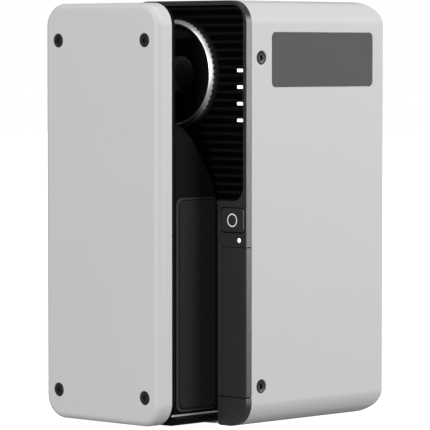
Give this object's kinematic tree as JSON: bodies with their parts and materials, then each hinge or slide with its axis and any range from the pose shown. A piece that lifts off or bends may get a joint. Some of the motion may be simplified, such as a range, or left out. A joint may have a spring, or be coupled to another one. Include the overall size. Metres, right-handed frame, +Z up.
{
  "type": "handheld 3d scanner",
  "caption": "Handheld 3-D scanner: white tower with ribbed lens face and side window, dark sloped grip waist and white screwed front cover.",
  "frame": {"origin": "under the middle of the whole scanner, on the surface it stands on", "axes": "+Z up; -Y is the way the ribbed lens face and the front cover look; +X is the side of the battery column"},
  "size_m": [0.0852, 0.123, 0.18],
  "materials": {
    "white_shell": "fine satin white powder coat",
    "window_grey": "smooth grey panel",
    "black_steel": "blackened steel",
    "bezel_dark": "satin dark grey",
    "face_black": "black",
    "light_white": "clear white light guide",
    "grip_black": "fine textured black",
    "trim_grey": "satin dark grey",
    "grip_rubber": "soft touch, fine grain",
    "ring_metal": "turned and knurled",
    "lens_glass": "coated optical glass",
    "pupil_glass": "dark optical glass",
    "board_green": "solder mask",
    "bright_steel": "machined",
    "contact_brass": "plated",
    "chip_black": "moulded",
    "bare_aluminium": "extruded",
    "inner_plastic": "moulded",
    "battery_wrap": "wrapped cells"
  },
  "bodies": {
    "housing": {"battery_bay": "inner_plastic", "battery_contacts": "contact_brass", "board_standoffs": "bright_steel", "bottom_tray": "white_shell", "button_switch": "inner_plastic", "camera_board": "board_green", "chassis": "face_black", "cover_screws": "black_steel", "face_lights": "light_white", "fan_housing": "inner_plastic", "foot_cap": "bezel_dark", "front_backplate": "face_black", "front_bezel": "bezel_dark", "front_cover": "white_shell", "front_glass": "lens_glass", "grip_core": "grip_black", "grip_pad_left": "grip_rubber", "grip_pad_right": "grip_rubber", "grip_trim_left": "trim_grey", "grip_trim_right": "trim_grey", "heat_sink": "bare_aluminium", "lens_barrel": "face_black", "light_board": "board_green", "main_board": "board_green", "port_board": "board_green", "processor": "chip_black", "pupil_lens": "pupil_glass", "rear_shell": "white_shell", "ribbed_face": "face_black", "shell_screws": "black_steel", "side_window": "window_grey", "status_light": "light_white", "tripod_insert": "bright_steel", "usb_socket": "bright_steel"},
    "ring": {"focus_ring": "ring_metal"},
    "button": {"power_button": "bezel_dark", "button_ring": "light_white"},
    "battery": {"battery_door": "bezel_dark", "battery_pack": "battery_wrap"},
    "rotor": {"fan_rotor": "inner_plastic"}
  },
  "joints": [
    {"name": "button_press", "type": "slide", "parent": "housing", "child": "button", "axis": [0, 1, 0], "range_m": [0, 0.0005], "stiffness_N_per_m": 900, "springref_m": -0.001},
    {"name": "ring_turn", "type": "hinge", "parent": "housing", "child": "ring", "pos_m": [0.0012, -0.026, 0.1489], "axis": [0, -1, 0], "range_deg": [-60, 60]},
    {"name": "battery_slide", "type": "slide", "parent": "housing", "child": "battery", "axis": [0, -1, 0], "range_m": [0, 0.085]},
    {"name": "fan_spin", "type": "hinge", "parent": "housing", "child": "rotor", "pos_m": [0.0084, 0.05, 0.128], "axis": [0, 1, 0], "continuous": true}
  ]
}
